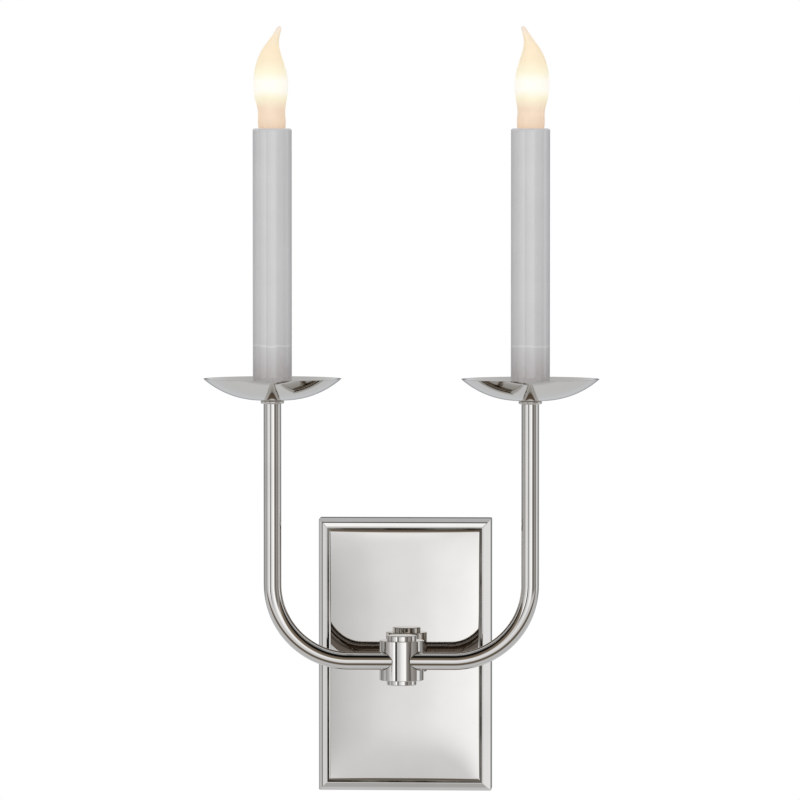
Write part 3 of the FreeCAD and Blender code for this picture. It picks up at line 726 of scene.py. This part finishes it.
COLLAR_RADIUS = 0.00765
COLLAR_HEIGHT = 0.0023
COLLAR_BORE = 0.0049
DISH_RADIUS = 0.045
DISH_DEPTH = 0.0141
DISH_SHEET = 0.0009
DISH_BORE = 0.00515
DISH_EDGE = 0.00015
DISH_STEPS = 40


def repaint_both(finish, *parts):
    """Repaints solids that are on both sides."""
    repaint(finish, *[side + part for side in ("left_", "right_") for part in parts])


candle = (CANDLE_X, ARM_Y)
bead = COLLAR_HEIGHT / 2
collar_stations = ([(COLLAR_BORE, ARM_TOP)]
                   + arc((COLLAR_RADIUS - bead, ARM_TOP + bead), bead, -90, 90, steps=14)
                   + [(COLLAR_BORE, ARM_TOP + COLLAR_HEIGHT), (COLLAR_BORE, ARM_TOP)])
both_sides(turned("collar", collar_stations, candle, filled=False), "collar", polished_nickel,
           "polished_nickel")

dish_bottom = ARM_TOP + COLLAR_HEIGHT
sweep = ((DISH_RADIUS - COLLAR_RADIUS) ** 2 + DISH_DEPTH ** 2) / (2 * DISH_DEPTH)
reach = math.degrees(math.acos((sweep - DISH_DEPTH) / sweep))
inner_sweep = sweep - DISH_SHEET
inner_reach = math.degrees(math.acos((sweep - DISH_DEPTH) / inner_sweep))
sweep_middle = (COLLAR_RADIUS, dish_bottom + sweep)
dish_stations = ([(DISH_BORE, dish_bottom)]
                 + arc(sweep_middle, sweep, -90, -90 + reach, steps=DISH_STEPS)
                 + arc(sweep_middle, inner_sweep, -90 + inner_reach, -90, steps=DISH_STEPS)
                 + [(DISH_BORE, dish_bottom + DISH_SHEET), (DISH_BORE, dish_bottom)])
dish = turned("dish", dish_stations, candle, filled=False)
round_edges(dish, DISH_EDGE, segments=3, least_turn=50)
smooth(dish)
both_sides(dish, "dish", polished_nickel, "polished_nickel")
repaint_both(zinc_steel, "nipple", "nipple_nuts", "socket_bracket", "socket_screw")


# ---------------------------------------------------------------------------------------------
# The candle cover is a loose sleeve of cast resin with a satin skin, off-white and a little cool.
# Its top edge is rounded. Low down a faint wavy line of painted light stands for the light that the
# dish throws up on it, and below it the sleeve is a touch pinker.

COVER_RADIUS = 0.01269
COVER_BORE = 0.01069
COVER_BOTTOM = 0.17133
COVER_TOP = 0.34673
COVER_ROUND = 0.0015
COVER_FOOT_EDGE = 0.0002
COVER_RINGS = 12
# Height and waviness of the painted light line
LIGHT_LINE_HEIGHT = 0.2055
LIGHT_LINE_WAVE = 0.004
UPPER_TONES = ((0.645, 0.640, 0.645), (0.680, 0.675, 0.678))
LOWER_TONE = (0.585, 0.55, 0.55, 1)
# Colour of the painted light line
PAINTED_LIGHT_TONE = (0.9, 0.89, 0.88, 1)
SLEEVE_ROUGHNESS = (0.34, 0.44)
# Heights over the painted light line: where the pinker lower part gives way to the upper tone, and how
# far from its middle the painted line itself fades in
LOWER_TONE_FADE = (-0.018, 0.001)
LIGHT_LINE_FADE = (0.0009, 0.0002)
LIGHT_LINE_STRENGTH = 0.45

cover_stations = ([(COVER_BORE, COVER_BOTTOM), (COVER_RADIUS - COVER_FOOT_EDGE, COVER_BOTTOM),
                   (COVER_RADIUS, COVER_BOTTOM + COVER_FOOT_EDGE)]
                  + [(COVER_RADIUS, COVER_BOTTOM + (COVER_TOP - COVER_BOTTOM) * i / COVER_RINGS)
                     for i in range(1, COVER_RINGS)]
                  + arc((COVER_RADIUS - COVER_ROUND, COVER_TOP - COVER_ROUND), COVER_ROUND, 0, 90, steps=8)
                  + [(COVER_BORE, COVER_TOP), (COVER_BORE, COVER_BOTTOM)])
cover = turned("cover", cover_stations, candle, filled=False)

candle_sleeve, tree, shader, place = new_finish("candle_sleeve")
ripple = noise(tree, place, scale=90.0, detail=3.0)
wander = calc(tree, "MULTIPLY_ADD", ripple, LIGHT_LINE_WAVE, along(tree, place)["Z"])
over_light_line = calc(tree, "SUBTRACT", wander, LIGHT_LINE_HEIGHT + LIGHT_LINE_WAVE / 2)
upper_tone = drift(tree, noise(tree, place, scale=45.0, detail=4.0), UPPER_TONES)
lower_and_upper = blend(tree, spread(tree, over_light_line, *LOWER_TONE_FADE), LOWER_TONE, upper_tone)
# The painted light line, laid over the sleeve's tone
near_light_line = spread(tree, calc(tree, "ABSOLUTE", over_light_line), *LIGHT_LINE_FADE, 0, LIGHT_LINE_STRENGTH)
skin = noise(tree, place, scale=900.0)
feed(tree, shader, {
    "Base Color": blend(tree, near_light_line, lower_and_upper, PAINTED_LIGHT_TONE),
    "Roughness": spread(tree, skin, 0, 1, *SLEEVE_ROUGHNESS),
    "Normal": relief(tree, skin, strength=0.15),
    "Coat Weight": 1.0,
    "Coat Roughness": 0.06,
})
both_sides(cover, "cover", candle_sleeve, "candle_sleeve", "{side}_cover", "candle_cover")


# ---------------------------------------------------------------------------------------------
# Inside each cover stand the lamp holder's pieces: a black phenolic body, a brass screw shell and
# a bent brass leaf. They are moulded or stamped, and only their finish is made here.

phenolic = plain_finish("phenolic", (0.012, 0.011, 0.010), (0.028, 0.026, 0.024), 0.38, grain=1200.0)
contact_brass = plain_finish("contact_brass", (0.72, 0.50, 0.22), (0.83, 0.62, 0.32), 0.25, metallic=1.0)
repaint_both(phenolic, "socket_body")
repaint_both(contact_brass, "screw_shell", "centre_contact")


# ---------------------------------------------------------------------------------------------
# The flame bulb is blown glass, frosted, with a bulge, a waist, a second bulge and a bent tip. It
# is lit. Its neck is cemented in a rolled metal base with a black glass insulator and a spot of
# solder, and a glass column inside carries two leads and the filament.

BASE_TOP = 0.33973
GLASS_WALL = 0.0008
GLASS_NECK_RADIUS = 0.00525
GLASS_NECK_LENGTH = 0.0045
GLASS_SIDES = 32
# (height above the base, radius, lean away from the middle of the light), in millimetres
GLASS_SECTIONS = [
    (0.6, 5.5, 0.0), (2.5, 7.2, 0.0), (5.5, 8.8, 0.1), (11.9, 9.3, 0.2), (16.1, 8.7, 0.3),
    (20.3, 9.1, 0.5), (28.0, 10.9, 0.9), (34.6, 11.7, 0.9), (40.5, 11.2, 1.0), (47.0, 9.9, 1.3),
    (54.2, 7.5, 1.4), (60.0, 5.1, 0.6), (64.6, 3.1, -1.2), (69.0, 2.2, -3.3), (72.4, 1.6, -4.7),
    (73.1, 1.1, -4.9),
]
SOLID_TIP_FROM = 62.0
HOLLOW_END_RADIUS = 0.0012
TIP_RISE = 0.0002
TIP_LEAN = -0.0001
GLOW_HEIGHT = 0.075
GLOW_WAVE = 0.003
GLOW = [
    (0.0, (0.46, 0.32, 0.21)), (0.14, (0.50, 0.35, 0.23)), (0.28, (0.54, 0.40, 0.27)),
    (0.37, (0.62, 0.60, 0.42)), (0.44, (0.68, 0.70, 0.68)), (0.52, (0.68, 0.70, 0.68)),
    (0.60, (0.62, 0.60, 0.43)), (0.70, (0.60, 0.50, 0.32)), (0.90, (0.57, 0.46, 0.28)),
    (1.0, (0.50, 0.44, 0.44)),
]
FROST_TONES = ((0.60, 0.555, 0.49), (0.64, 0.59, 0.52))
FILAMENT_GLOW = {"Emission Color": (1.0, 0.80, 0.50, 1), "Emission Strength": 4.0}

outside = [(r / 1000, BASE_TOP + h / 1000, lean / 1000) for h, r, lean in GLASS_SECTIONS]
inside = [(r / 1000 - GLASS_WALL, BASE_TOP + h / 1000, lean / 1000)
          for h, r, lean in GLASS_SECTIONS if h < SOLID_TIP_FROM][::-1]
neck_bottom = BASE_TOP - GLASS_NECK_LENGTH
_, tip_height, tip_lean = outside[-1]
glass_stations = ([(HOLLOW_END_RADIUS, inside[0][1] + HOLLOW_END_RADIUS, inside[0][2])] + inside
                  + [(GLASS_NECK_RADIUS - GLASS_WALL, neck_bottom), (GLASS_NECK_RADIUS, neck_bottom)]
                  + outside + [(0.0, tip_height + TIP_RISE, tip_lean + TIP_LEAN)])
glass = turned("glass", glass_stations, candle, sides=GLASS_SIDES)
apply_modifier(glass, "SUBSURF", levels=2, render_levels=2)
smooth(glass, degrees=60)

frosted_glass, tree, shader, place = new_finish("frosted_glass")
frost = noise(tree, place, scale=120.0, detail=3.0)
wander = calc(tree, "MULTIPLY_ADD", frost, GLOW_WAVE, along(tree, place)["Z"])
up_glass = spread(tree, wander, BASE_TOP, BASE_TOP + GLOW_HEIGHT)
feed(tree, shader, {
    "Base Color": drift(tree, frost, FROST_TONES),
    "Roughness": 0.5,
    "Transmission Weight": 0.30,
    "Emission Color": ramp(tree, up_glass, GLOW),
    "Emission Strength": 0.60,
})
both_sides(glass, "bulb", frosted_glass, "frosted_glass", "{side}_bulb", "bulb_glass")

lamp_base = plain_finish("lamp_base", (0.66, 0.64, 0.60), (0.78, 0.77, 0.74), 0.28, metallic=1.0)
black_glass = plain_finish("black_glass", (0.010, 0.010, 0.012), (0.022, 0.022, 0.026), 0.12)
solder = plain_finish("solder", (0.50, 0.50, 0.51), (0.66, 0.66, 0.67), 0.42, metallic=1.0)
lead_wire = plain_finish("lead_wire", (0.55, 0.52, 0.50), (0.64, 0.61, 0.58), 0.3, metallic=1.0)
filament = plain_finish("filament", (0.9, 0.75, 0.5), (1.0, 0.85, 0.6), 0.5, more=FILAMENT_GLOW)
clear_glass = plain_finish("clear_glass", (0.93, 0.94, 0.95), (0.97, 0.98, 0.98), 0.06,
                           more={"Transmission Weight": 1.0})
repaint_both(lamp_base, "bulb_base")
repaint_both(black_glass, "bulb_insulator")
repaint_both(solder, "bulb_tip_contact")
repaint_both(clear_glass, "bulb_stem")
repaint_both(lead_wire, "bulb_leads")
repaint_both(filament, "bulb_filament")
